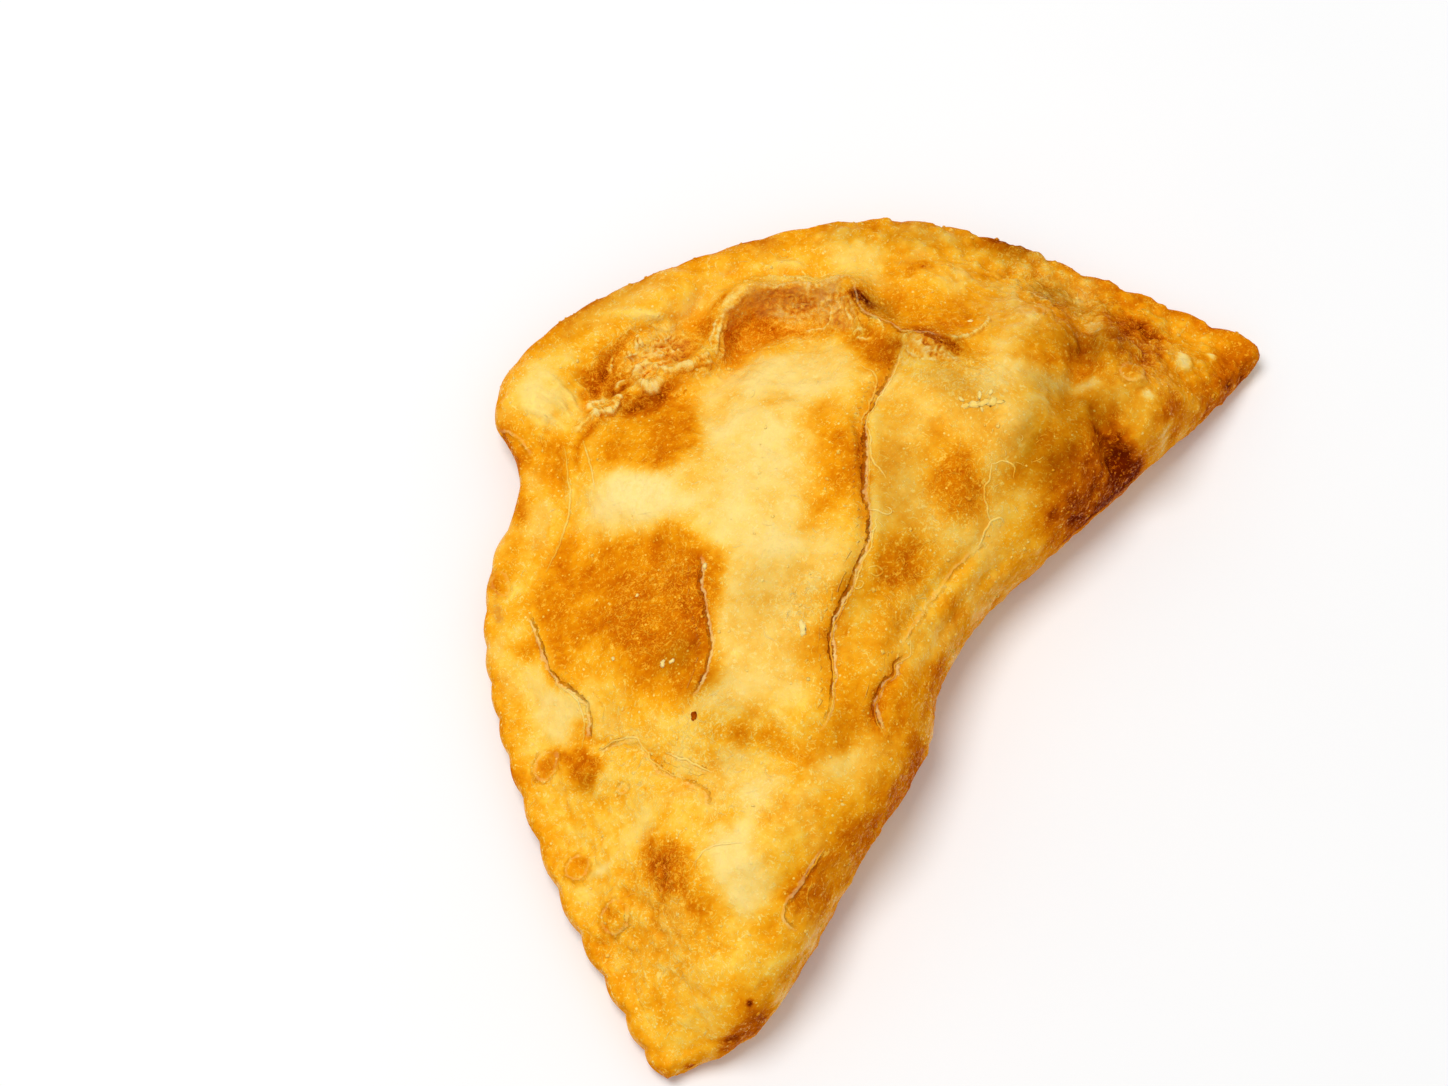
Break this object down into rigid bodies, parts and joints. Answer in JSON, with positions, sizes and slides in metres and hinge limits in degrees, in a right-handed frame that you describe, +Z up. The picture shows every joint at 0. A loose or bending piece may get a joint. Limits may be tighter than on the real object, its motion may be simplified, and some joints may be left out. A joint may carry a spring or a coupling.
{
  "type": "fried cheese empanada",
  "caption": "Fried half-moon pastry, folded over a soft filling and sealed along a fluted rim, puffed and browned; a whole piece of finger food.",
  "frame": {"origin": "under the middle of the pastry's box, on the surface it lies on", "axes": "+X from one tip to the other along the fold, +Y from the fold to the sealed rim, +Z up"},
  "size_m": [0.1401, 0.0902, 0.026],
  "materials": {
    "fried_dough": "fried wheat dough, satin with a film of oil, browned in patches"
  },
  "bodies": {
    "root": {"empanada": "fried_dough"}
  },
  "joints": []
}
